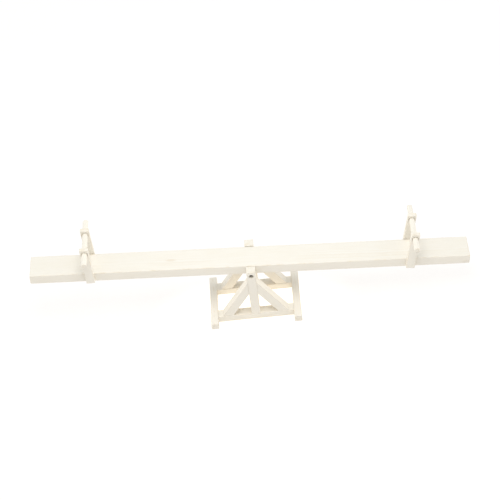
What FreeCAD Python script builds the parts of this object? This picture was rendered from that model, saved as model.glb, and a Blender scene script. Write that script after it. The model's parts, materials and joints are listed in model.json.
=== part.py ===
"""Child's garden seesaw: a plank rocking between two timber trusses on a pair of ground skids.

Frame: +X along the plank, +Y towards the rear truss, +Z up. The origin lies on the ground
directly below the pivot. Every length is in millimetres and every angle in degrees.
"""
import FreeCAD, Part
import math
import os

V = FreeCAD.Vector
X_AXIS = V(1, 0, 0)
Y_AXIS = V(0, 1, 0)
Z_AXIS = V(0, 0, 1)

# Plank
beam_length = 2400.0
beam_width = 150.0
beam_thickness = 60.0
beam_edge_radius = 4.0
rest_tilt = 4.4  # at rest the right end hangs this far below level

# Pivot
pivot_height = 338.0
post_gap = 3.5  # between the side of the plank and the inner face of each post

# Ground frame
skid_length = 360.0
skid_width = 42.0
skid_spacing = 464.0  # between the centre lines of the two skids
rail_height = 42.0
crossmember_depth = 54.0
timber_edge_radius = 3.0

# Trusses: a king post braced by a diagonal strut on each side
post_width = 50.0
truss_depth = 50.0
strut_width = 50.0
strut_angle = 57.2  # above the horizontal
strut_foot_x = 184.5  # outer edge of the strut's foot

# Axle, its fixings and the two bushes in the plank
axle_radius = 8.0
thread_radius = 6.0
axle_clearance = 0.05
counterbore_radius = 13.0
counterbore_depth = 28.0
washer_radius = 12.0
washer_thickness = 2.5
nut_across_flats = 19.0
nut_height = 10.0
thread_past_nut = 2.5
bush_radius = 11.0
bush_sleeve_length = 40.0
bush_flange_radius = 18.0
bush_flange_thickness = 2.5

# Handles: an upright on each side of the plank carrying one round grip bar
handle_x = 875.0  # from the pivot, along the top of the plank
handle_splay = 4.5  # outward lean of the uprights from square to the plank
upright_lean = 3.0  # lean of the two uprights of a handle towards each other
upright_width = 48.0
upright_thickness = 24.0
upright_above_beam = 188.0
upright_below_top = 54.0  # the upright stops just short of the plank's underside
grip_radius = 15.0
grip_length = 340.0
grip_above_beam = 157.0
grip_recess_radius = 18.5  # relief round the mouths of the bore for the grip bar
grip_recess_depth = 5.0

# Blind dowel pins that hold the glued joints
pin_radius = 5.0
pin_chamfer = 1.0
pin_clearance = 0.05
pin_end_gap = 1.0

# Derived positions
post_inner_y = beam_width / 2 + post_gap
truss_centre_y = post_inner_y + truss_depth / 2
post_outer_y = post_inner_y + truss_depth
post_top = pivot_height + beam_thickness / 2
rail_end_x = skid_spacing / 2 - skid_width / 2
upright_centre_y = beam_width / 2 + upright_thickness / 2
lean_slope = math.tan(math.radians(upright_lean))
bore_inner_y = beam_width / 2 - (grip_above_beam + upright_below_top) * lean_slope
bore_outer_y = bore_inner_y + upright_thickness / math.cos(math.radians(upright_lean))
counterbore_floor_y = post_outer_y - counterbore_depth
pivot = V(0, 0, pivot_height)

SIDES = {"left": -1, "right": 1}
ENDS = {"front": -1, "rear": 1}


def parallel_edges(shape, direction):
    """Straight edges of a shape that run along a direction."""
    found = []
    for edge in shape.Edges:
        run = edge.Vertexes[-1].Point.sub(edge.Vertexes[0].Point)
        if run.Length > 1e-6 and run.normalize().cross(direction).Length < 1e-4:
            found.append(edge)
    return found


def centred_box(centre, size_x, size_y, size_z):
    """Box with its middle at a point."""
    corner = centre.sub(V(size_x / 2, size_y / 2, size_z / 2))
    return Part.makeBox(size_x, size_y, size_z, corner)


def rod(start, direction, length, radius):
    """Plain cylinder from a start point."""
    return Part.makeCylinder(radius, length, start, direction)


def dowel_pin(start, direction, length):
    """Dowel pin with chamfered ends."""
    pin = rod(start, direction, length, pin_radius)
    rims = [edge for edge in pin.Edges if len(edge.Vertexes) == 1]
    return pin.makeChamfer(pin_chamfer, rims)


def pin_hole(start, direction, length):
    """Drilling for a dowel pin, a little longer than the pin at both ends."""
    lead = V(direction).multiply(-pin_end_gap)
    return rod(start.add(lead), direction, length + 2 * pin_end_gap, pin_radius + pin_clearance)


def cut_pin_holes(shape, pins):
    """Drill a timber for the pins that enter it."""
    for start, direction, length in pins:
        shape = shape.cut(pin_hole(start, direction, length))
    return shape


def one_solid(shape):
    """The single solid left after a cut."""
    if len(shape.Solids) != 1:
        raise ValueError("expected one solid, found %d" % len(shape.Solids))
    return shape.Solids[0]


def tilt_to_rest(shape):
    """Turn a piece of the rocking body about the pivot, from level to its rest position."""
    turned = shape.copy()
    turned.rotate(pivot, Y_AXIS, rest_tilt)
    return turned


# ----- Dowel pins of the ground frame -----

skid_pin_inset = 30.0
skid_pin_length = 58.0
skid_pin_pitch = 28.0
foot_pin_depth = 24.0
foot_pin_length = 50.0
post_pin_pitch = 28.0
strut_pin_pitch = 24.0
strut_head_pin_z = 225.0
strut_head_pin_inset = 22.0
strut_foot_x_inner = strut_foot_x - strut_width / math.sin(math.radians(strut_angle))
strut_foot_middle_x = (strut_foot_x + strut_foot_x_inner) / 2


def skid_pins(side, end):
    """Pins along X between one skid and one cross-member."""
    start_x = side * (rail_end_x - skid_pin_inset)
    pins = []
    for step in (-0.5, 0.5):
        y = end * truss_centre_y + step * skid_pin_pitch
        start = V(start_x, y, rail_height / 2)
        pins.append((start, V(side, 0, 0), skid_pin_length))
    return pins


def post_foot_pins(end):
    """Upright pins between one cross-member and its post."""
    pins = []
    for step in (-0.5, 0.5):
        start = V(step * post_pin_pitch, end * truss_centre_y, rail_height - foot_pin_depth)
        pins.append((start, Z_AXIS, foot_pin_length))
    return pins


def strut_foot_pins(side, end):
    """Upright pins between one cross-member and a strut's foot."""
    pins = []
    for step in (-0.5, 0.5):
        y = end * truss_centre_y + step * strut_pin_pitch
        start = V(side * strut_foot_middle_x, y, rail_height - foot_pin_depth)
        pins.append((start, Z_AXIS, foot_pin_length))
    return pins


def strut_head_pins(side, end):
    """Level pins between a post and a strut's head."""
    pins = []
    for step in (-0.5, 0.5):
        y = end * truss_centre_y + step * strut_pin_pitch
        start = V(side * (post_width / 2 - strut_head_pin_inset), y, strut_head_pin_z)
        pins.append((start, V(side, 0, 0), foot_pin_length))
    return pins


# ----- Ground frame -----

def make_skid(side):
    """Skid lying on the ground, running front to back."""
    centre = V(side * skid_spacing / 2, 0, rail_height / 2)
    skid = centred_box(centre, skid_width, skid_length, rail_height)
    skid = skid.makeFillet(timber_edge_radius, skid.Edges)
    for end in ENDS.values():
        skid = cut_pin_holes(skid, skid_pins(side, end))
    return one_solid(skid)


def make_crossmember(end):
    """Bottom rail of a truss, butted between the skids."""
    centre = V(0, end * truss_centre_y, rail_height / 2)
    rail = centred_box(centre, 2 * rail_end_x, crossmember_depth, rail_height)
    rail = rail.makeFillet(timber_edge_radius, parallel_edges(rail, X_AXIS))
    rail = cut_pin_holes(rail, post_foot_pins(end))
    for side in SIDES.values():
        rail = cut_pin_holes(rail, skid_pins(side, end))
        rail = cut_pin_holes(rail, strut_foot_pins(side, end))
    return one_solid(rail)


def make_post(end):
    """King post, bored for the axle and counterbored from its outer face for the nut."""
    height = post_top - rail_height
    centre = V(0, end * truss_centre_y, rail_height + height / 2)
    post = centred_box(centre, post_width, truss_depth, height)
    soft = [edge for edge in post.Edges if edge.BoundBox.ZMax > rail_height + 1]
    post = post.makeFillet(timber_edge_radius, soft)
    outward = V(0, end, 0)
    bore_start = V(0, end * (post_inner_y - 1), pivot_height)
    post = post.cut(rod(bore_start, outward, truss_depth + 2, axle_radius + axle_clearance))
    mouth_start = V(0, end * counterbore_floor_y, pivot_height)
    post = post.cut(rod(mouth_start, outward, counterbore_depth + 1, counterbore_radius))
    post = cut_pin_holes(post, post_foot_pins(end))
    for side in SIDES.values():
        post = cut_pin_holes(post, strut_head_pins(side, end))
    return one_solid(post)


def make_strut(side, end):
    """Diagonal strut: plumb cut against the post, level cut on the cross-member."""
    slope = math.tan(math.radians(strut_angle))
    head_x = post_width / 2
    outer_head_z = rail_height + (strut_foot_x - head_x) * slope
    inner_head_z = rail_height + (strut_foot_x_inner - head_x) * slope
    near_y = end * truss_centre_y - truss_depth / 2
    outline = [
        V(side * strut_foot_x, near_y, rail_height),
        V(side * head_x, near_y, outer_head_z),
        V(side * head_x, near_y, inner_head_z),
        V(side * strut_foot_x_inner, near_y, rail_height),
    ]
    face = Part.Face(Part.makePolygon(outline + outline[:1]))
    strut = face.extrude(V(0, truss_depth, 0))
    along = V(-side, 0, slope).normalize()
    strut = strut.makeFillet(timber_edge_radius, parallel_edges(strut, along))
    strut = cut_pin_holes(strut, strut_foot_pins(side, end))
    strut = cut_pin_holes(strut, strut_head_pins(side, end))
    return one_solid(strut)


# ----- Axle and its fixings -----

def make_axle():
    """Steel rod with a reduced, threaded portion at each end."""
    shoulder_y = counterbore_floor_y - 0.5
    tip_y = counterbore_floor_y + washer_thickness + nut_height + thread_past_nut
    axle = rod(V(0, -shoulder_y, pivot_height), Y_AXIS, 2 * shoulder_y, axle_radius)
    thread = rod(V(0, -tip_y, pivot_height), Y_AXIS, 2 * tip_y, thread_radius)
    tips = [edge for edge in thread.Edges if len(edge.Vertexes) == 1]
    thread = thread.makeChamfer(1.0, tips)
    return one_solid(axle.fuse(thread).removeSplitter())


def make_washer(end):
    """Flat washer on the floor of the counterbore."""
    start = V(0, end * counterbore_floor_y, pivot_height)
    outward = V(0, end, 0)
    washer = rod(start, outward, washer_thickness, washer_radius)
    hole = rod(start, outward, washer_thickness, thread_radius + 0.3)
    return one_solid(washer.cut(hole))


def make_nut(end):
    """Hexagon nut with its corners chamfered."""
    start_y = end * (counterbore_floor_y + washer_thickness)
    corner_radius = nut_across_flats / math.sqrt(3)
    corners = []
    for step in range(6):
        angle = math.radians(60 * step)
        x = corner_radius * math.cos(angle)
        z = pivot_height + corner_radius * math.sin(angle)
        corners.append(V(x, start_y, z))
    hexagon = Part.Face(Part.makePolygon(corners + corners[:1]))
    nut = hexagon.extrude(V(0, end * nut_height, 0))
    start = V(0, start_y, pivot_height)
    outward = V(0, end, 0)
    turned = rod(start, outward, nut_height, corner_radius)
    rims = [edge for edge in turned.Edges if len(edge.Vertexes) == 1]
    turned = turned.makeChamfer(0.9, rims)
    hole = rod(start, outward, nut_height, thread_radius + axle_clearance)
    return one_solid(nut.common(turned).cut(hole))


# ----- Rocking body, modelled level and then tilted to rest -----

upright_pin_length = 50.0
upright_pin_in_upright = 16.0
upright_pin_offset = 10.0
upright_pin_drops = (15.0, 41.0)  # below the top of the plank


def handle_frame(side, shape):
    """Move a handle piece drawn upright at the origin to its place on the plank.

    The origin of the drawing is the point where the handle's centre line meets the
    top of the plank.
    """
    placed = shape.copy()
    placed.rotate(V(0, 0, 0), Y_AXIS, side * handle_splay)
    placed.translate(V(side * handle_x, 0, pivot_height + beam_thickness / 2))
    return placed


def upright_pins(end):
    """Pins along Y between one upright and the side of the plank, in the handle's drawing."""
    pins = []
    start_y = end * (beam_width / 2 + upright_pin_in_upright)
    for drop, step in zip(upright_pin_drops, (-1, 1)):
        start = V(step * upright_pin_offset, start_y, -drop)
        pins.append((start, V(0, -end, 0), upright_pin_length))
    return pins


def make_beam():
    """The plank, bored across for the bushes."""
    beam = centred_box(pivot, beam_length, beam_width, beam_thickness)
    beam = beam.makeFillet(beam_edge_radius, beam.Edges)
    bore_start = V(0, -beam_width, pivot_height)
    beam = beam.cut(rod(bore_start, Y_AXIS, 2 * beam_width, bush_radius))
    for side in SIDES.values():
        for end in ENDS.values():
            for start, direction, length in upright_pins(end):
                hole = handle_frame(side, pin_hole(start, direction, length))
                beam = beam.cut(hole)
    return one_solid(beam)


def make_bush(end):
    """Flanged bush pressed into one side of the plank."""
    outward = V(0, end, 0)
    sleeve_start = V(0, end * (beam_width / 2 - bush_sleeve_length), pivot_height)
    flange_start = V(0, end * beam_width / 2, pivot_height)
    whole_length = bush_sleeve_length + bush_flange_thickness
    sleeve = rod(sleeve_start, outward, whole_length, bush_radius)
    flange = rod(flange_start, outward, bush_flange_thickness, bush_flange_radius)
    hole = rod(sleeve_start, outward, whole_length, axle_radius + axle_clearance)
    return one_solid(sleeve.fuse(flange).removeSplitter().cut(hole))


def make_upright(side, end):
    """Upright of a handle, leaning in over the plank and cut to fit its side and arris.

    It is bored near its top for the grip bar, with both mouths recessed.
    """
    height = upright_above_beam + upright_below_top
    middle_z = (upright_above_beam - upright_below_top) / 2
    centre = V(0, end * upright_centre_y, middle_z)
    upright = centred_box(centre, upright_width, upright_thickness, height)
    upright = upright.makeFillet(timber_edge_radius, upright.Edges)
    heel = V(0, end * beam_width / 2, -upright_below_top)
    upright.rotate(heel, X_AXIS, end * upright_lean)
    outward = V(0, end, 0)
    bore_start = V(0, end * (bore_inner_y - grip_recess_depth), grip_above_beam)
    bore_length = bore_outer_y - bore_inner_y + 2 * grip_recess_depth
    bore = rod(bore_start, outward, bore_length, grip_radius + axle_clearance)
    upright = upright.cut(bore)
    inner_floor = V(0, end * (bore_inner_y + grip_recess_depth), grip_above_beam)
    outer_floor = V(0, end * (bore_outer_y - grip_recess_depth), grip_above_beam)
    for floor, direction in ((inner_floor, V(0, -end, 0)), (outer_floor, outward)):
        recess = rod(floor, direction, 2 * grip_recess_depth, grip_recess_radius)
        upright = upright.cut(recess)
    upright = cut_pin_holes(upright, upright_pins(end))
    plank_block = centred_box(pivot, beam_length, beam_width, beam_thickness)
    return one_solid(handle_frame(side, upright).cut(plank_block))


def make_grip(side):
    """Round bar through both uprights, standing out on each side as a hand grip."""
    grip = rod(V(0, -grip_length / 2, grip_above_beam), Y_AXIS, grip_length, grip_radius)
    rims = [edge for edge in grip.Edges if len(edge.Vertexes) == 1]
    grip = grip.makeFillet(timber_edge_radius, rims)
    return one_solid(handle_frame(side, grip))


# ----- All the pieces -----

def pin_group(pins):
    """Several dowel pins kept together as one group."""
    return Part.makeCompound([dowel_pin(*pin) for pin in pins])


def all_parts():
    """Every piece of the seesaw by name."""
    parts = {}
    ground_pins = []
    for end_name, end in ENDS.items():
        parts[end_name + "_crossmember"] = make_crossmember(end)
        parts[end_name + "_post"] = make_post(end)
        parts[end_name + "_axle_washer"] = make_washer(end)
        parts[end_name + "_axle_nut"] = make_nut(end)
        parts[end_name + "_bush"] = tilt_to_rest(make_bush(end))
        truss_pins = post_foot_pins(end)
        for side_name, side in SIDES.items():
            parts[end_name + "_" + side_name + "_strut"] = make_strut(side, end)
            truss_pins = truss_pins + strut_foot_pins(side, end)
            truss_pins = truss_pins + strut_head_pins(side, end)
            ground_pins = ground_pins + skid_pins(side, end)
        parts[end_name + "_truss_pins"] = pin_group(truss_pins)
    parts["skid_pins"] = pin_group(ground_pins)
    parts["axle"] = make_axle()
    parts["beam"] = tilt_to_rest(make_beam())
    for side_name, side in SIDES.items():
        parts[side_name + "_skid"] = make_skid(side)
        parts[side_name + "_grip_bar"] = tilt_to_rest(make_grip(side))
        handle_pins = []
        for end_name, end in ENDS.items():
            upright = make_upright(side, end)
            parts[side_name + "_" + end_name + "_upright"] = tilt_to_rest(upright)
            handle_pins = handle_pins + upright_pins(end)
        pins = handle_frame(side, pin_group(handle_pins))
        parts[side_name + "_handle_pins"] = tilt_to_rest(pins)
    return parts


os.makedirs("parts", exist_ok=True)
for name, shape in all_parts().items():
    shape.exportStep("parts/" + name + ".step")
    print(name, len(shape.Solids), "solids", round(shape.Volume / 1000), "cm3")
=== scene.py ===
"""Looks of the garden seesaw: painted timber with eased edges, a threaded steel axle, and a plain
pale studio. Every piece is in metres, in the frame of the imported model: +X along the plank,
+Y towards the rear truss, +Z up."""

import json
import math

import bmesh
import bpy
from mathutils import Matrix, Vector, noise


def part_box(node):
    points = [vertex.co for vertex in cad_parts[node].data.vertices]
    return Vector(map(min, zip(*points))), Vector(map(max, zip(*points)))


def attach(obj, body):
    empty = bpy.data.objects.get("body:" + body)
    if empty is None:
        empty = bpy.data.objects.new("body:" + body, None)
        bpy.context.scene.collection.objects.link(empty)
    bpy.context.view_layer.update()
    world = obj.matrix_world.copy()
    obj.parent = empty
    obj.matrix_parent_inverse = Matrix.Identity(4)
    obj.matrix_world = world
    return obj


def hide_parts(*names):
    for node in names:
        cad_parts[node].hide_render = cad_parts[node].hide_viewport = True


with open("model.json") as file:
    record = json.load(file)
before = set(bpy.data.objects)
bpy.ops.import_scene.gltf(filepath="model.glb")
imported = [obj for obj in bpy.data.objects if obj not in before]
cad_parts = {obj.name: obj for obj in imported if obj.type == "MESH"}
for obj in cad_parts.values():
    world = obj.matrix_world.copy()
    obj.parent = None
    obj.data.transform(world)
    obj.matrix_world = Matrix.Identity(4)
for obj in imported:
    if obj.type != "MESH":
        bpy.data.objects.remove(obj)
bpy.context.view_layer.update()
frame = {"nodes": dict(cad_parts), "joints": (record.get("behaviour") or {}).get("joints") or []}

MM = 0.001
SIDES = {"left": -1, "right": 1}
ENDS = {"front": -1, "rear": 1}

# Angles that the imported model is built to, in degrees
REST_TILT = 4.4
HANDLE_SPLAY = 4.5
UPRIGHT_LEAN = 3.0
STRUT_ANGLE = 57.2

# Timber finish
EDGE_RADIUS = 3.2 * MM
TRUSS_EDGE_RADIUS = 1.8 * MM
END_ROUNDING = 3.0 * MM
POST_TOP_ROUNDING = 1.5 * MM  # less than the edge radius, so that the corners stay whole
PLANK_EDGE_RADIUS = 4.2 * MM
PLANK_END_ROUNDING = 4.0 * MM
SUPPORT_LOOP = 2.5 * MM  # width of the narrow face strip beside each eased edge
STATION_SPACING = 12 * MM
FACE_WAVE = 0.25 * MM  # how far planing and paint leave a face below true
EDGE_WAVE = 0.7 * MM  # how far an eased edge wanders
GRIP_FACE_WAVE = 0.15 * MM
GRIP_EDGE_WAVE = 0.3 * MM
RING_SPACING = 4.5 * MM  # between the growth rings of the log
LOW_DARKENING_HEIGHT = 55 * MM  # how far up from the ground the timber is darkened in patches

# Holes
COUNTERBORE_RADIUS = 13 * MM
COUNTERBORE_DEPTH = 28 * MM
AXLE_HOLE_RADIUS = 8.2 * MM
BUSH_HOLE_RADIUS = 11.1 * MM
GRIP_HOLE_RADIUS = 15.3 * MM
GRIP_RECESS_RADIUS = 18.5 * MM
GRIP_RECESS_DEPTH = 5.0 * MM
HOLE_CHAMFER = 1.2 * MM
DRILL_MARGIN = 1.0 * MM  # how far a drill starts or ends clear of the timber
GRIP_DRILL_MARGIN = 3.0 * MM  # the same for the uprights, whose faces lean

# Axle
THREADED_LENGTH = 15.5 * MM
THREAD_RADIUS = 6.0 * MM
THREAD_PITCH = 1.75 * MM
THREAD_DEPTH = 0.95 * MM
THREAD_LEAD = 1.2 * MM  # length of the tapered start of the thread
JOURNAL_EASE = 0.05 * MM  # keeps the turned journal just inside its CAD node

# Steps round a curve
EDGE_STEPS = 5
END_STEPS = 4
GRIP_STEPS = 48
HOLE_STEPS = 64
AXLE_STEPS = 40
STEPS_PER_PITCH = 8
CREASE_ANGLE = 32.0  # degrees between faces past which an edge stays sharp
BEVEL_ANGLE = 28.0  # the same for easing the edges of the CAD's own pieces
METAL_BEVEL = 0.25 * MM
BUSH_BEVEL = 0.4 * MM

# How much of an eased edge's waviness a place has
EDGE_SHARE = 1.0
EDGE_BORDER_SHARE = 0.6
SQUARE_CUT_SHARE = 0.3

# Camera, from the direction the object is usually shown
CAMERA_TARGET = Vector((0.0074, 0.0, 0.4154))
CAMERA_DISTANCE = 8.113
CAMERA_ELEVATION = 45.47
CAMERA_AZIMUTH = 2.665
CAMERA_ROLL = 7.704
CAMERA_LENS = 107.27
CAMERA_SENSOR = 36.0

X_AXIS = Vector((1, 0, 0))
Y_AXIS = Vector((0, 1, 0))
Z_AXIS = Vector((0, 0, 1))
PIVOT = Vector(frame["joints"][0]["pos_m"])


# ---------- Local frames ----------

def turned_about_y(vector, degrees):
    """A vector turned about +Y by the right-hand rule."""
    return Matrix.Rotation(math.radians(degrees), 3, "Y") @ vector


def axes_matrix(along, across):
    """Rotation whose X runs along a timber and whose Y runs across it."""
    third = along.cross(across)
    return Matrix((along, across, third)).transposed()


def measured_in(node, axes):
    """Middle and size of a CAD node, measured along a set of local axes."""
    to_local = axes.transposed()
    points = [to_local @ v.co for v in frame["nodes"][node].data.vertices]
    low = Vector([min(p[i] for p in points) for i in range(3)])
    high = Vector([max(p[i] for p in points) for i in range(3)])
    return axes @ ((low + high) / 2), high - low


def seed_shift(seed):
    """Where in the log a timber was cut: it moves the grain pattern, not the timber."""
    return Vector((0.61 * seed, 0.02 * math.sin(2.3 * seed), 0.075 + 0.02 * math.cos(1.7 * seed)))


# ---------- Meshes ----------

def spaced(start, end, spacing):
    """Values from start to end, evenly spaced, with both ends."""
    count = max(1, round((end - start) / spacing))
    return [start + (end - start) * i / count for i in range(count + 1)]


def direction_at(angle):
    """Unit vector at an angle, in a timber's section."""
    return Vector((math.cos(angle), math.sin(angle)))


def rectangle_ring(width, depth, radius):
    """Section of an eased timber as (point, outward normal, share of edge) in its YZ plane."""
    half_y = width / 2
    half_z = depth / 2
    ring = []
    for corner in range(4):
        angle = corner * math.pi / 2
        sign_y = (1, -1, -1, 1)[corner]
        sign_z = (1, 1, -1, -1)[corner]
        centre = Vector((sign_y * (half_y - radius), sign_z * (half_z - radius)))
        for step in range(EDGE_STEPS + 1):
            normal = direction_at(angle + step / EDGE_STEPS * math.pi / 2)
            share = EDGE_BORDER_SHARE if step in (0, EDGE_STEPS) else EDGE_SHARE
            ring.append((centre + radius * normal, normal, share))
        run = (depth if corner % 2 else width) - 2 * radius
        direction = direction_at(angle + math.pi)
        normal = direction_at(angle + math.pi / 2)
        first = centre + radius * normal
        for distance in spaced(SUPPORT_LOOP, run - SUPPORT_LOOP, STATION_SPACING):
            ring.append((first + distance * direction, normal, 0.0))
    return ring


def circle_ring(radius):
    """Section of a turned bar."""
    ring = []
    for step in range(GRIP_STEPS):
        normal = direction_at(2 * math.pi * step / GRIP_STEPS)
        ring.append((radius * normal, normal, 0.0))
    return ring


def end_stations(rounding):
    """(distance from the end, inset, share of edge) over a rounded end, or one square cut."""
    if not rounding:
        return [(0.0, 0.0, SQUARE_CUT_SHARE)]
    stations = []
    for step in range(END_STEPS + 1):
        turn = step / END_STEPS * math.pi / 2
        share = EDGE_BORDER_SHARE if step in (0, END_STEPS) else EDGE_SHARE
        stations.append((rounding * (1 - math.cos(turn)), rounding * (1 - math.sin(turn)), share))
    return stations + [(rounding + SUPPORT_LOOP, 0.0, 0.0)]


def flat_end(x):
    """A square cut at a place along the local X axis."""
    return lambda y, z: x


def cut_by(point, normal):
    """A slanted cut: where each line along local X meets a plane."""
    return lambda y, z: (point - Vector((0, y, z))).dot(normal) / normal.x


def wander(point, share, face_wave, edge_wave):
    """How far a surface point lies below the true shape: a slow wave over the faces, and a
    quicker one along the eased edges."""
    slow = noise.noise(Vector((point.x * 7, point.y * 20, point.z * 20)))
    quick = noise.noise(Vector((point.x * 38, point.y * 60, point.z * 60)) + Vector((7, 3, 1)))
    return face_wave * (0.5 + 0.5 * slow) + edge_wave * share * max(0.0, 0.35 + 0.65 * quick)


def skin(mesh, rows):
    """Faces between closed rows of vertices, and one over each end."""
    for row, following in zip(rows, rows[1:]):
        for i in range(len(row)):
            j = (i + 1) % len(row)
            mesh.faces.new((row[i], row[j], following[j], following[i]))
    mesh.faces.new(list(reversed(rows[0])))
    mesh.faces.new(rows[-1])


def loft(name, ring, start, end, roundings, seed, face_wave=FACE_WAVE, edge_wave=EDGE_WAVE):
    """A timber or bar along local X between two cuts, with its edges eased by hand."""
    shift = seed_shift(seed)
    middle_length = end(0, 0) - start(0, 0)
    start_rounding, end_rounding = roundings
    stations = [(0.0, gap, inset, share) for gap, inset, share in end_stations(start_rounding)]
    count = max(2, round(middle_length / STATION_SPACING))
    stations += [(i / count, 0.0, 0.0, 0.0) for i in range(1, count)]
    last_stations = reversed(end_stations(end_rounding))
    stations += [(1.0, -gap, inset, share) for gap, inset, share in last_stations]
    mesh = bmesh.new()
    edge_layer = mesh.verts.layers.float.new("eased_edge")
    rows = []
    for fraction, gap, inset, end_share in stations:
        row = []
        for point, normal, ring_share in ring:
            y, z = point
            x = start(y, z) * (1 - fraction) + end(y, z) * fraction + gap
            share = max(ring_share, end_share)
            on_surface = Vector((x, y, z)) + shift
            inward = inset + wander(on_surface, share, face_wave, edge_wave)
            vertex = mesh.verts.new(on_surface - inward * Vector((0, normal.x, normal.y)))
            vertex[edge_layer] = share
            row.append(vertex)
        rows.append(row)
    skin(mesh, rows)
    return finished_mesh(name, mesh), shift


def finished_mesh(name, mesh):
    """Turn a bmesh into an object's mesh, with every face looking outward."""
    bmesh.ops.recalc_face_normals(mesh, faces=mesh.faces)
    data = bpy.data.meshes.new(name)
    mesh.to_mesh(data)
    mesh.free()
    return data


def crease(obj):
    """Smooth shading, broken where faces meet at more than the crease angle."""
    obj.data.polygons.foreach_set("use_smooth", [True] * len(obj.data.polygons))
    obj.data.set_sharp_from_angle(angle=math.radians(CREASE_ANGLE))
    weighted = obj.modifiers.new("weighted_normals", "WEIGHTED_NORMAL")
    weighted.keep_sharp = True


def placed(name, data, axes, centre, shift):
    """An object for a mesh drawn in local axes, with its grain shift taken off again."""
    obj = bpy.data.objects.new(name, data)
    bpy.context.scene.collection.objects.link(obj)
    obj.matrix_world = Matrix.Translation(centre - axes @ shift) @ axes.to_4x4()
    return obj


def turned_solid(name, profile):
    """Closed solid turned about local X from (place along X, radius) pairs."""
    mesh = bmesh.new()
    rows = []
    for x, radius in profile:
        row = []
        for step in range(HOLE_STEPS):
            turn = 2 * math.pi * step / HOLE_STEPS
            row.append(mesh.verts.new((x, radius * math.cos(turn), radius * math.sin(turn))))
        rows.append(row)
    skin(mesh, rows)
    return finished_mesh(name, mesh)


def cut(obj, *cutters):
    """Cut other objects' shapes out of an object for good."""
    for cutter in cutters:
        modifier = obj.modifiers.new("cut", "BOOLEAN")
        modifier.operation = "DIFFERENCE"
        modifier.solver = "EXACT"
        modifier.object = cutter
    bpy.context.view_layer.update()
    evaluated = obj.evaluated_get(bpy.context.evaluated_depsgraph_get())
    data = bpy.data.meshes.new_from_object(evaluated)
    obj.modifiers.clear()
    obj.data = data


def drill_along(start, direction, profile):
    """Drill of any (place, radius) profile along a level direction, to be cut from a timber."""
    axes = axes_matrix(direction, Z_AXIS)
    return placed("drill", turned_solid("drill", profile), axes, start, Vector())


def plain_drill(start, direction, length, radius):
    """Drill of one radius."""
    return drill_along(start, direction, [(0.0, radius), (length, radius)])


def discard(*objects):
    """Remove drills once the holes are made."""
    for obj in objects:
        bpy.data.objects.remove(obj)


# ---------- Materials ----------

class Tree:
    """Short forms for building one material's nodes."""

    def __init__(self, name, grained=False):
        self.material = bpy.data.materials.new(name)
        self.material.use_nodes = True
        self.nodes = self.material.node_tree.nodes
        self.links = self.material.node_tree.links
        self.nodes.clear()
        self.surface = self.node("ShaderNodeBsdfPrincipled")
        output = self.node("ShaderNodeOutputMaterial")
        self.links.new(self.surface.outputs[0], output.inputs[0])
        if grained:
            grain = self.node("ShaderNodeAttribute", attribute_name="grain_place")
            self.local = grain.outputs["Vector"]
        else:
            self.local = self.node("ShaderNodeTexCoord").outputs["Object"]

    def node(self, kind, inputs=None, **settings):
        """Add a node, set its options, then set or link its inputs by name or number."""
        node = self.nodes.new(kind)
        for key, value in settings.items():
            setattr(node, key, value)
        for key, value in (inputs or {}).items():
            if isinstance(value, bpy.types.NodeSocket):
                self.links.new(value, node.inputs[key])
            else:
                node.inputs[key].default_value = value
        return node

    def set(self, **inputs):
        """Set or link inputs of the surface shader, with _ for each space in a name."""
        for key, value in inputs.items():
            socket = self.surface.inputs[key.replace("_", " ")]
            if isinstance(value, bpy.types.NodeSocket):
                self.links.new(value, socket)
            else:
                socket.default_value = value

    def stretched(self, scale):
        """Local coordinates scaled by a different amount along each axis."""
        node = self.node("ShaderNodeVectorMath", {0: self.local, 1: scale}, operation="MULTIPLY")
        return node.outputs[0]

    def noise(self, scale, detail=3.0, roughness=0.55):
        """Noise whose scale may differ along each axis, from 0 to 1."""
        place = self.stretched(scale)
        inputs = {"Vector": place, "Scale": 1.0, "Detail": detail, "Roughness": roughness}
        return self.node("ShaderNodeTexNoise", inputs).outputs["Fac"]

    def between(self, value, low, high, to_low=0.0, to_high=1.0):
        """A smooth step of a value between two limits."""
        inputs = {"Value": value, 1: low, 2: high, 3: to_low, 4: to_high}
        node = self.node("ShaderNodeMapRange", inputs, interpolation_type="SMOOTHSTEP")
        return node.outputs[0]

    def math(self, operation, a, b):
        """One arithmetic step."""
        return self.node("ShaderNodeMath", {0: a, 1: b}, operation=operation).outputs[0]

    def mix(self, share, a, b, blend="MIX"):
        """Mix two colours."""
        node = self.node("ShaderNodeMix", data_type="RGBA", blend_type=blend)
        for index, value in ((0, share), (6, a), (7, b)):
            if isinstance(value, bpy.types.NodeSocket):
                self.links.new(value, node.inputs[index])
            else:
                node.inputs[index].default_value = value
        return node.outputs[2]

    def bump(self, height, distance, strength=1.0, normal=None):
        """Bump from a height between 0 and 1, of a real depth in metres."""
        inputs = {"Height": height, "Distance": distance, "Strength": strength}
        if normal is not None:
            inputs["Normal"] = normal
        return self.node("ShaderNodeBump", inputs).outputs[0]


def rgb(red, green, blue):
    """A colour with full alpha."""
    return (red, green, blue, 1.0)


def growth_rings(tree, period):
    """Rings of the log about local X, bent a little along the grain."""
    bend = tree.noise((1.3, 6.0, 6.0), detail=2.0)
    offset = tree.node("ShaderNodeCombineXYZ", {"Y": tree.math("MULTIPLY", bend, 0.03)}).outputs[0]
    place = tree.node("ShaderNodeVectorMath", {0: tree.local, 1: offset}, operation="ADD").outputs[0]
    inputs = {"Vector": place, "Scale": math.pi / 10 / period, "Distortion": 1.2, "Detail": 2.0,
              "Detail Scale": 0.4}
    wave = tree.node("ShaderNodeTexWave", inputs, wave_type="RINGS", rings_direction="X",
                     wave_profile="SAW")
    return wave.outputs["Fac"]


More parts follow.
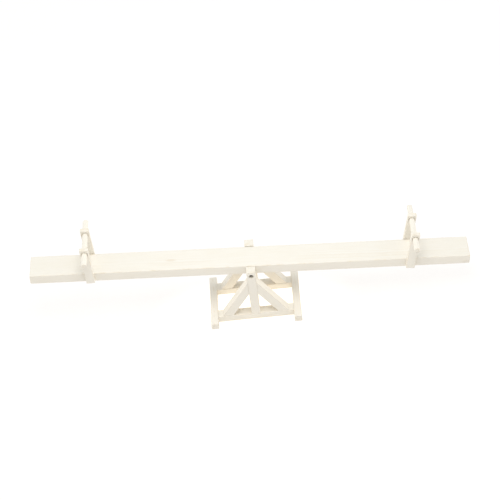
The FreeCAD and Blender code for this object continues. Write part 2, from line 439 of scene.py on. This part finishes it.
def knots(tree):
    """Soft oval marks, one every few hundred millimetres, where knots sit under the paint."""
    place = tree.stretched((3.1, 8.0, 8.0))
    cells = tree.node("ShaderNodeTexVoronoi", {"Vector": place, "Scale": 1.0, "Randomness": 0.9})
    spot = tree.between(cells.outputs["Distance"], 0.05, 0.12, 1.0, 0.0)
    chosen = tree.node("ShaderNodeSeparateColor", {0: cells.outputs["Color"]}).outputs[0]
    return tree.math("MULTIPLY", spot, tree.between(chosen, 0.55, 0.6))


def painted_timber(name, light, deep, wear, low_darkening=0.0, roughness=0.46):
    """Satin cream paint, brushed along planed softwood, thin on the eased edges."""
    tree = Tree(name, grained=True)
    broad = tree.noise((1.6, 6.0, 6.0), detail=2.0)
    cloud = tree.noise((11.0, 34.0, 34.0), detail=3.0)
    fibres = tree.noise((9.0, 260.0, 260.0), detail=4.0, roughness=0.6)
    strokes = tree.noise((16.0, 620.0, 620.0), detail=2.0)
    rings = growth_rings(tree, RING_SPACING)
    knot = knots(tree)

    broad_tone = tree.between(broad, 0.3, 0.7, 0.0, 0.65)
    cloud_tone = tree.between(cloud, 0.35, 0.65, 0.0, 0.35)
    colour = tree.mix(tree.math("ADD", broad_tone, cloud_tone), deep, light)
    bands = tree.between(rings, 0.55, 0.95)
    late_wood = tree.math("MULTIPLY", bands, tree.between(broad, 0.42, 0.62))
    band_shade = tree.math("MULTIPLY", late_wood, 0.16)
    colour = tree.mix(band_shade, colour, rgb(0.80, 0.66, 0.44), "MULTIPLY")
    knot_shade = tree.math("MULTIPLY", knot, 0.22)
    colour = tree.mix(knot_shade, colour, rgb(0.72, 0.55, 0.33), "MULTIPLY")
    fibre_shade = tree.between(fibres, 0.5, 0.75, 0.0, 0.07)
    colour = tree.mix(fibre_shade, colour, rgb(0.74, 0.62, 0.44), "MULTIPLY")

    eased = tree.node("ShaderNodeAttribute", attribute_name="eased_edge").outputs["Fac"]
    rub = tree.noise((26.0, 46.0, 46.0), detail=4.0, roughness=0.65)
    rub_start = 0.60 - 0.1 * wear
    rubbed = tree.math("MULTIPLY", tree.between(rub, rub_start, rub_start + 0.1), eased)
    rubbed = tree.math("MULTIPLY", rubbed, wear)
    thin = tree.math("MULTIPLY", tree.between(rub, 0.40, 0.62), tree.math("MULTIPLY", eased, 0.35))
    colour = tree.mix(thin, colour, rgb(0.90, 0.80, 0.62), "MULTIPLY")
    wood = tree.mix(tree.between(rings, 0.2, 0.9), rgb(0.68, 0.50, 0.29), rgb(0.50, 0.32, 0.16))
    colour = tree.mix(rubbed, colour, wood)

    # Darker in noisy patches towards the ground, fading out at the height set at the top
    if low_darkening:
        place = tree.node("ShaderNodeNewGeometry").outputs["Position"]
        height = tree.node("ShaderNodeSeparateXYZ", {0: place}).outputs["Z"]
        low = tree.between(height, 0.0, LOW_DARKENING_HEIGHT, 1.0, 0.0)
        low_patches = tree.math("MULTIPLY", low, tree.between(cloud, 0.42, 0.66))
        low_patches = tree.math("MULTIPLY", low_patches, low_darkening)
        colour = tree.mix(low_patches, colour, rgb(0.55, 0.47, 0.34), "MULTIPLY")

    uneven = tree.between(strokes, 0.3, 0.7, -0.05, 0.06)
    rough = tree.math("ADD", tree.math("ADD", uneven, roughness), tree.math("MULTIPLY", rubbed, 0.22))
    relief = tree.math("ADD", tree.math("MULTIPLY", strokes, 0.35), tree.math("MULTIPLY", fibres, 0.45))
    relief = tree.math("ADD", relief, tree.math("MULTIPLY", late_wood, 0.35))
    relief = tree.math("SUBTRACT", relief, tree.math("MULTIPLY", rubbed, 0.6))
    normal = tree.bump(relief, 0.22 * MM, strength=0.8)
    normal = tree.bump(cloud, 0.8 * MM, strength=0.35, normal=normal)
    tree.set(Base_Color=colour, Roughness=rough, Normal=normal, IOR=1.48)
    tree.set(Coat_Weight=0.12, Coat_Roughness=0.3)
    return tree.material


def bare_beech(name):
    """Unfinished beech of the dowel pins, with short flecks."""
    tree = Tree(name)
    fibres = tree.noise((90.0, 420.0, 420.0), detail=4.0)
    flecks = tree.between(tree.noise((260.0, 900.0, 900.0), detail=1.0), 0.60, 0.68)
    colour = tree.mix(fibres, rgb(0.60, 0.40, 0.22), rgb(0.76, 0.56, 0.35))
    colour = tree.mix(tree.math("MULTIPLY", flecks, 0.5), colour, rgb(0.42, 0.25, 0.12))
    tree.set(Base_Color=colour, Roughness=tree.between(fibres, 0.2, 0.8, 0.6, 0.75))
    tree.set(Normal=tree.bump(fibres, 0.15 * MM))
    return tree.material


def steel(name, colour, dull, roughness, tarnish):
    """Dark oiled steel with fine tool marks and dull patches."""
    tree = Tree(name)
    marks = tree.noise((420.0, 1400.0, 420.0), detail=2.0)
    patches = tree.noise((130.0, 130.0, 130.0), detail=4.0)
    share = tree.between(patches, 0.42, 0.68, 0.0, tarnish)
    mark_rough = tree.between(marks, 0.3, 0.7, -0.05, 0.07)
    patch_rough = tree.between(patches, 0.3, 0.7, roughness, roughness + 0.16)
    rough = tree.math("ADD", mark_rough, patch_rough)
    tree.set(Base_Color=tree.mix(share, colour, dull), Metallic=1.0, Roughness=rough)
    tree.set(Normal=tree.bump(marks, 0.05 * MM))
    return tree.material


def nylon(name):
    """Natural nylon of the bushes, slightly mottled."""
    tree = Tree(name)
    mottle = tree.noise((90.0, 90.0, 90.0), detail=3.0)
    turning = tree.noise((200.0, 2400.0, 200.0), detail=1.0)
    tree.set(Base_Color=tree.mix(mottle, rgb(0.74, 0.71, 0.63), rgb(0.83, 0.81, 0.75)))
    tree.set(Roughness=tree.between(mottle, 0.3, 0.7, 0.38, 0.5), Subsurface_Weight=0.1)
    tree.set(Normal=tree.bump(turning, 0.06 * MM), Subsurface_Scale=0.003)
    return tree.material


CREAM_LIGHT = rgb(0.85, 0.805, 0.722)
CREAM_DEEP = rgb(0.83, 0.775, 0.672)
plank_paint = painted_timber("plank_paint", CREAM_LIGHT, CREAM_DEEP, wear=0.16)
stand_paint = painted_timber("stand_paint", CREAM_LIGHT, CREAM_DEEP, wear=0.18, low_darkening=0.2)
handle_paint = painted_timber("handle_paint", CREAM_LIGHT, CREAM_DEEP, wear=0.18)
grip_paint = painted_timber("grip_paint", CREAM_LIGHT, CREAM_DEEP, wear=0.2, roughness=0.36)
pin_beech = bare_beech("pin_beech")
axle_steel = steel("axle_steel", rgb(0.17, 0.17, 0.18), rgb(0.09, 0.08, 0.075), 0.36, 0.7)
fixing_steel = steel("fixing_steel", rgb(0.15, 0.15, 0.16), rgb(0.08, 0.07, 0.065), 0.40, 0.8)
bush_nylon = nylon("bush_nylon")


# ---------- Pieces ----------

def finish_piece(obj, node, body, material):
    """Give a piece its finish, and let it stand for its CAD node on its body. The mesh moves into
    the row frame, and each vertex keeps its place along the timber for the material to read."""
    place = obj.data.attributes.new("grain_place", "FLOAT_VECTOR", "POINT")
    place.data.foreach_set("vector", [c for v in obj.data.vertices for c in v.co])
    obj.data.transform(obj.matrix_world)
    obj.matrix_world = Matrix.Identity(4)
    obj.data.materials.clear()
    obj.data.materials.append(material)
    crease(obj)
    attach(obj, body)
    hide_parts(node)
    return obj


def timber_blank(name, node, axes, seed, roundings, radius=EDGE_RADIUS):
    """A straight timber that fills its CAD node's own box, square or rounded at each end."""
    centre, size = measured_in(node, axes)
    ring = rectangle_ring(size.y, size.z, radius)
    data, shift = loft(name, ring, flat_end(-size.x / 2), flat_end(size.x / 2), roundings, seed)
    return placed(name, data, axes, centre, shift)


def make_skid(side, seed):
    """Skid, rounded at both ends."""
    node = side + "_skid"
    axes = axes_matrix(Y_AXIS, -X_AXIS)
    obj = timber_blank(node + "_timber", node, axes, seed, (END_ROUNDING, END_ROUNDING))
    cut(obj, frame["nodes"]["skid_pins"])
    return finish_piece(obj, node, "base", stand_paint)


def make_crossmember(end, seed):
    """Bottom rail, cut square against the skids."""
    node = end + "_crossmember"
    obj = timber_blank(node + "_timber", node, axes_matrix(X_AXIS, Y_AXIS), seed, (0, 0))
    cut(obj, frame["nodes"]["skid_pins"], frame["nodes"][end + "_truss_pins"])
    return finish_piece(obj, node, "base", stand_paint)


def make_post(end, seed):
    """King post, with its counterbored axle hole."""
    node = end + "_post"
    low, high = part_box(node)
    axes = axes_matrix(Z_AXIS, Y_AXIS)
    obj = timber_blank(node + "_timber", node, axes, seed, (0, POST_TOP_ROUNDING), TRUSS_EDGE_RADIUS)
    outward = ENDS[end] * Y_AXIS
    depth = high.y - low.y
    inner_y = min(abs(low.y), abs(high.y))
    start = Vector((PIVOT.x, ENDS[end] * (inner_y - DRILL_MARGIN), PIVOT.z))
    face = DRILL_MARGIN + depth
    step = face - COUNTERBORE_DEPTH
    wide = COUNTERBORE_RADIUS + HOLE_CHAMFER
    profile = [(0.0, AXLE_HOLE_RADIUS), (step, AXLE_HOLE_RADIUS), (step, COUNTERBORE_RADIUS),
               (face - HOLE_CHAMFER, COUNTERBORE_RADIUS), (face, wide), (face + DRILL_MARGIN, wide)]
    drill = drill_along(start, outward, profile)
    cut(obj, frame["nodes"][end + "_truss_pins"], drill)
    discard(drill)
    return finish_piece(obj, node, "base", stand_paint)


def make_strut(side, end, seed):
    """Diagonal strut, cut plumb against the post and level on the bottom rail."""
    node = end + "_" + side + "_strut"
    sign = SIDES[side]
    low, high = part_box(node)
    slope = math.radians(STRUT_ANGLE)
    along = Vector((-sign * math.cos(slope), 0, math.sin(slope)))
    axes = axes_matrix(along, Y_AXIS)
    centre, size = measured_in(node, axes)
    to_local = axes.transposed()
    foot_point = to_local @ (Vector((0, 0, low.z)) - centre)
    head_x = low.x if sign > 0 else high.x
    head_point = to_local @ (Vector((head_x, 0, 0)) - centre)
    ring = rectangle_ring(size.y, size.z, TRUSS_EDGE_RADIUS)
    foot = cut_by(foot_point, to_local @ Z_AXIS)
    head = cut_by(head_point, to_local @ X_AXIS)
    data, shift = loft(node + "_timber", ring, foot, head, (0, 0), seed)
    obj = placed(node + "_timber", data, axes, centre, shift)
    cut(obj, frame["nodes"][end + "_truss_pins"])
    return finish_piece(obj, node, "base", stand_paint)


def make_plank(seed):
    """The rocking plank, bored for its bushes."""
    axes = axes_matrix(turned_about_y(X_AXIS, REST_TILT), Y_AXIS)
    roundings = (PLANK_END_ROUNDING, PLANK_END_ROUNDING)
    obj = timber_blank("plank_timber", "beam", axes, seed, roundings, PLANK_EDGE_RADIUS)
    low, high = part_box("beam")
    start = Vector((PIVOT.x, low.y - DRILL_MARGIN, PIVOT.z))
    bore = plain_drill(start, Y_AXIS, high.y - low.y + 2 * DRILL_MARGIN, BUSH_HOLE_RADIUS)
    cut(obj, bore, *[frame["nodes"][side + "_handle_pins"] for side in SIDES])
    discard(bore)
    return finish_piece(obj, "beam", "rocker", plank_paint)


def handle_up(side):
    """Direction of a handle's uprights at rest."""
    return turned_about_y(Z_AXIS, REST_TILT + SIDES[side] * HANDLE_SPLAY)


def plank_block():
    """Square-edged block that fills the plank's place, to fit the uprights to its sides."""
    axes = axes_matrix(turned_about_y(X_AXIS, REST_TILT), Y_AXIS)
    centre, size = measured_in("beam", axes)
    mesh = bmesh.new()
    bmesh.ops.create_cube(mesh, size=1.0, matrix=Matrix.Diagonal(size).to_4x4())
    return placed("block", finished_mesh("block", mesh), axes, centre, Vector())


def make_upright(side, end, seed):
    """Handle upright, leaning in over the plank, fitted to its side and bored for the grip bar."""
    node = side + "_" + end + "_upright"
    lean = math.radians(UPRIGHT_LEAN)
    square_up = handle_up(side)
    along = math.cos(lean) * square_up - ENDS[end] * math.sin(lean) * Y_AXIS
    across = math.cos(lean) * Y_AXIS + ENDS[end] * math.sin(lean) * square_up
    axes = axes_matrix(along, across)
    centre, size = measured_in(node, axes)
    obj = timber_blank(node + "_timber", node, axes, seed, (END_ROUNDING, END_ROUNDING))
    grip_low, grip_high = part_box(side + "_grip_bar")
    axis_point = (grip_low + grip_high) / 2
    drills = []
    mouths = {}
    for face in (-1, 1):
        on_face = centre + face * size.y / 2 * across
        mouth_y = axis_point.y + (on_face - axis_point).dot(across) / across.y
        mouths[face] = Vector((axis_point.x, mouth_y, axis_point.z))
        floor = mouths[face] - face * GRIP_RECESS_DEPTH * Y_AXIS
        length = GRIP_RECESS_DEPTH + GRIP_DRILL_MARGIN
        drills.append(plain_drill(floor, face * Y_AXIS, length, GRIP_RECESS_RADIUS))
    start = mouths[-1] - GRIP_DRILL_MARGIN * Y_AXIS
    drills.append(plain_drill(start, Y_AXIS, size.y + 2 * GRIP_DRILL_MARGIN, GRIP_HOLE_RADIUS))
    block = plank_block()
    cut(obj, frame["nodes"][side + "_handle_pins"], block, *drills)
    discard(block, *drills)
    return finish_piece(obj, node, "rocker", handle_paint)


def make_grip(side, seed):
    """Turned grip bar with rounded ends."""
    node = side + "_grip_bar"
    axes = axes_matrix(Y_AXIS, -X_AXIS)
    centre, size = measured_in(node, axes)
    ring = circle_ring(size.y / 2)
    ends = (flat_end(-size.x / 2), flat_end(size.x / 2))
    data, shift = loft(node + "_turned", ring, *ends, (END_ROUNDING, END_ROUNDING), seed,
                       GRIP_FACE_WAVE, GRIP_EDGE_WAVE)
    obj = placed(node + "_turned", data, axes, centre, shift)
    return finish_piece(obj, node, "rocker", grip_paint)


def thread_radius_at(x, turn, tip):
    """Radius of the rolled thread at a place along the axle and a share of a turn."""
    phase = (x / THREAD_PITCH - turn) % 1.0
    radius = THREAD_RADIUS - THREAD_DEPTH * abs(2 * phase - 1)
    return min(radius, THREAD_RADIUS - THREAD_LEAD + (tip - abs(x)))


def make_axle():
    """Steel axle: a plain journal with a rolled thread on each reduced end."""
    low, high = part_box("axle")
    tip = (high.y - low.y) / 2
    shoulder = tip - THREADED_LENGTH
    journal_radius = (high.z - low.z) / 2 - JOURNAL_EASE
    spacing = THREAD_PITCH / STEPS_PER_PITCH
    places = [(x, True) for x in spaced(-tip, -shoulder, spacing)]
    places += [(-shoulder, False), (shoulder, False)]
    places += [(x, True) for x in spaced(shoulder, tip, spacing)]
    mesh = bmesh.new()
    rows = []
    for x, threaded in places:
        row = []
        for step in range(AXLE_STEPS):
            turn = step / AXLE_STEPS
            radius = thread_radius_at(x, turn, tip) if threaded else journal_radius
            angle = 2 * math.pi * turn
            row.append(mesh.verts.new((x, radius * math.cos(angle), radius * math.sin(angle))))
        rows.append(row)
    skin(mesh, rows)
    axes = axes_matrix(Y_AXIS, -X_AXIS)
    obj = placed("axle_rod", finished_mesh("axle_rod", mesh), axes, (low + high) / 2, Vector())
    return finish_piece(obj, "axle", "base", axle_steel)


def dress_cad_node(node, material, bevel=0.0):
    """A CAD piece whose shape is right: a better material, and its sharp edges eased."""
    obj = frame["nodes"][node]
    obj.data.materials.clear()
    obj.data.materials.append(material)
    if bevel:
        ease = obj.modifiers.new("eased", "BEVEL")
        ease.width = bevel
        ease.segments = 2
        ease.limit_method = "ANGLE"
        ease.angle_limit = math.radians(BEVEL_ANGLE)
        ease.harden_normals = True


make_plank(seed=1)
for number, side in enumerate(SIDES):
    make_skid(side, seed=2 + number)
    make_grip(side, seed=4 + number)
    dress_cad_node(side + "_handle_pins", pin_beech)
for number, end in enumerate(ENDS):
    make_crossmember(end, seed=6 + number)
    make_post(end, seed=8 + number)
    dress_cad_node(end + "_truss_pins", pin_beech)
    dress_cad_node(end + "_axle_washer", fixing_steel, bevel=METAL_BEVEL)
    dress_cad_node(end + "_axle_nut", fixing_steel, bevel=METAL_BEVEL)
    dress_cad_node(end + "_bush", bush_nylon, bevel=BUSH_BEVEL)
    for place, side in enumerate(SIDES):
        make_strut(side, end, seed=10 + 2 * number + place)
        make_upright(side, end, seed=14 + 2 * number + place)
dress_cad_node("skid_pins", pin_beech)
make_axle()


# ---------- Studio ----------

FLOOR_RADIUS = 60.0
FLOOR_GAP = 0.5 * MM  # keeps the floor just clear of the skids
GLOW_STRETCH = (2.6, 6.5, 1.0)  # shapes the warm patch under the stand into an oval
TABLE_GLOW = rgb(0.795, 0.775, 0.755)
STAND_GLOW = rgb(1.45, 1.34, 1.15)


def make_floor():
    """Pale seamless light table: shadows stay faint, and it glows warmer under the stand."""
    tree = Tree("floor_paper")
    speckle = tree.noise((40.0, 40.0, 40.0), detail=2.0)
    paper = tree.mix(speckle, rgb(0.22, 0.22, 0.22), rgb(0.25, 0.25, 0.25))
    place = tree.stretched(GLOW_STRETCH)
    distance = tree.node("ShaderNodeVectorMath", {0: place}, operation="LENGTH").outputs["Value"]
    nearness = tree.between(distance, 0.1, 1.6, 1.0, 0.0)
    emission = tree.mix(nearness, TABLE_GLOW, STAND_GLOW)
    tree.set(Base_Color=paper, Roughness=0.9, Specular_IOR_Level=0.1)
    tree.set(Emission_Color=emission, Emission_Strength=1.0)
    mesh = bmesh.new()
    bmesh.ops.create_circle(mesh, cap_ends=True, radius=FLOOR_RADIUS, segments=96)
    obj = bpy.data.objects.new("floor", finished_mesh("floor", mesh))
    bpy.context.scene.collection.objects.link(obj)
    obj.location.z = -FLOOR_GAP
    obj.data.materials.append(tree.material)


def make_light(name, place, size, watts):
    """Soft square white light that points at the object."""
    light = bpy.data.lights.new(name, "AREA")
    light.size = size
    light.energy = watts
    obj = bpy.data.objects.new(name, light)
    bpy.context.scene.collection.objects.link(obj)
    obj.location = place
    obj.rotation_euler = (CAMERA_TARGET - obj.location).to_track_quat("-Z", "Y").to_euler()


def make_world(horizon, zenith, sides):
    """Studio dome that runs from one colour at the horizon to a brighter one overhead, with a
    soft glow added from the left and the right."""
    world = bpy.data.worlds.new("studio")
    world.use_nodes = True
    nodes = world.node_tree.nodes
    links = world.node_tree.links
    direction = nodes.new("ShaderNodeTexCoord")
    height = nodes.new("ShaderNodeSeparateXYZ")
    shade = nodes.new("ShaderNodeMix")
    shade.data_type = "RGBA"
    shade.clamp_result = False
    shade.inputs[6].default_value = horizon
    shade.inputs[7].default_value = zenith
    links.new(direction.outputs["Generated"], height.inputs[0])
    links.new(height.outputs["Z"], shade.inputs[0])
    sideways = nodes.new("ShaderNodeMath")
    sideways.operation = "MULTIPLY"
    links.new(height.outputs["X"], sideways.inputs[0])
    links.new(height.outputs["X"], sideways.inputs[1])
    glow = nodes.new("ShaderNodeMix")
    glow.data_type = "RGBA"
    glow.blend_type = "ADD"
    glow.clamp_result = False
    glow.inputs[7].default_value = sides
    links.new(sideways.outputs[0], glow.inputs[0])
    links.new(shade.outputs[2], glow.inputs[6])
    links.new(glow.outputs[2], nodes["Background"].inputs["Color"])
    bpy.context.scene.world = world


def make_camera():
    """Camera at the usual viewing angle, rolled a little."""
    elevation = math.radians(CAMERA_ELEVATION)
    azimuth = math.radians(CAMERA_AZIMUTH)
    roll = math.radians(CAMERA_ROLL)
    ahead = Vector((-math.sin(azimuth) * math.cos(elevation),
                    math.cos(azimuth) * math.cos(elevation), -math.sin(elevation)))
    level = Vector((math.cos(azimuth), math.sin(azimuth), 0))
    above = level.cross(ahead)
    right = level * math.cos(roll) - above * math.sin(roll)
    up = level * math.sin(roll) + above * math.cos(roll)
    camera = bpy.data.cameras.new("camera")
    camera.lens = CAMERA_LENS
    camera.sensor_width = CAMERA_SENSOR
    camera.clip_end = 200.0
    obj = bpy.data.objects.new("camera", camera)
    bpy.context.scene.collection.objects.link(obj)
    rotation = Matrix((right, up, -ahead)).transposed().to_4x4()
    obj.matrix_world = Matrix.Translation(CAMERA_TARGET - CAMERA_DISTANCE * ahead) @ rotation
    bpy.context.scene.camera = obj


make_floor()
make_world(
    horizon=rgb(0.03, 0.02, 0.0),
    zenith=rgb(0.72, 0.77, 0.82),
    sides=rgb(1.46, 1.45, 1.42),
)
make_light("overhead", place=Vector((0.1, -1.3, 4.7)), size=2.2, watts=82.0)
make_camera()
bpy.context.scene.view_settings.view_transform = "Standard"
bpy.context.view_layer.update()
